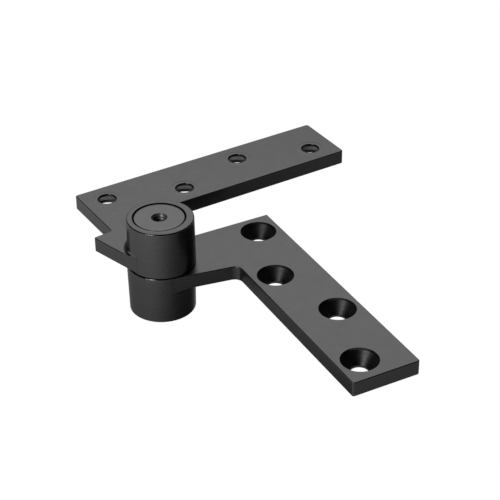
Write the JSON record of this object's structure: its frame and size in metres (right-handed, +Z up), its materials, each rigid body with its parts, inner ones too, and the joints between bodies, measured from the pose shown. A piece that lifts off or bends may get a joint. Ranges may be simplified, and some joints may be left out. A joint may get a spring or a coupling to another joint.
{
  "type": "offset pivot hinge",
  "caption": "Offset pivot hinge: two flat leaves with countersunk holes turn about a headed pin in a split barrel set off to one side.",
  "frame": {"origin": "on the pivot axis, level with the top of the door leaf", "axes": "+Z up along the pivot axis, towards the pin's head; +X along the frame leaf's bar, away from its barrel end; +Y from the pivot axis towards that bar"},
  "size_m": [0.1247, 0.1628, 0.0412],
  "materials": {
    "coated_casting": "satin",
    "coated_pin": "satin",
    "bush_bronze": "satin"
  },
  "bodies": {
    "frame": {"frame_leaf": "coated_casting"},
    "door": {"door_leaf": "coated_casting", "door_bush": "bush_bronze"},
    "pin": {"pivot_pin": "coated_pin"}
  },
  "joints": [
    {"name": "door_swing", "type": "hinge", "parent": "frame", "child": "door", "pos_m": [0, 0, 0], "axis": [0, 0, 1], "range_deg": [-86.5, 93.5]},
    {"name": "pin_lift", "type": "slide", "parent": "frame", "child": "pin", "axis": [0, 0, 1], "range_m": [0, 0.036]}
  ]
}
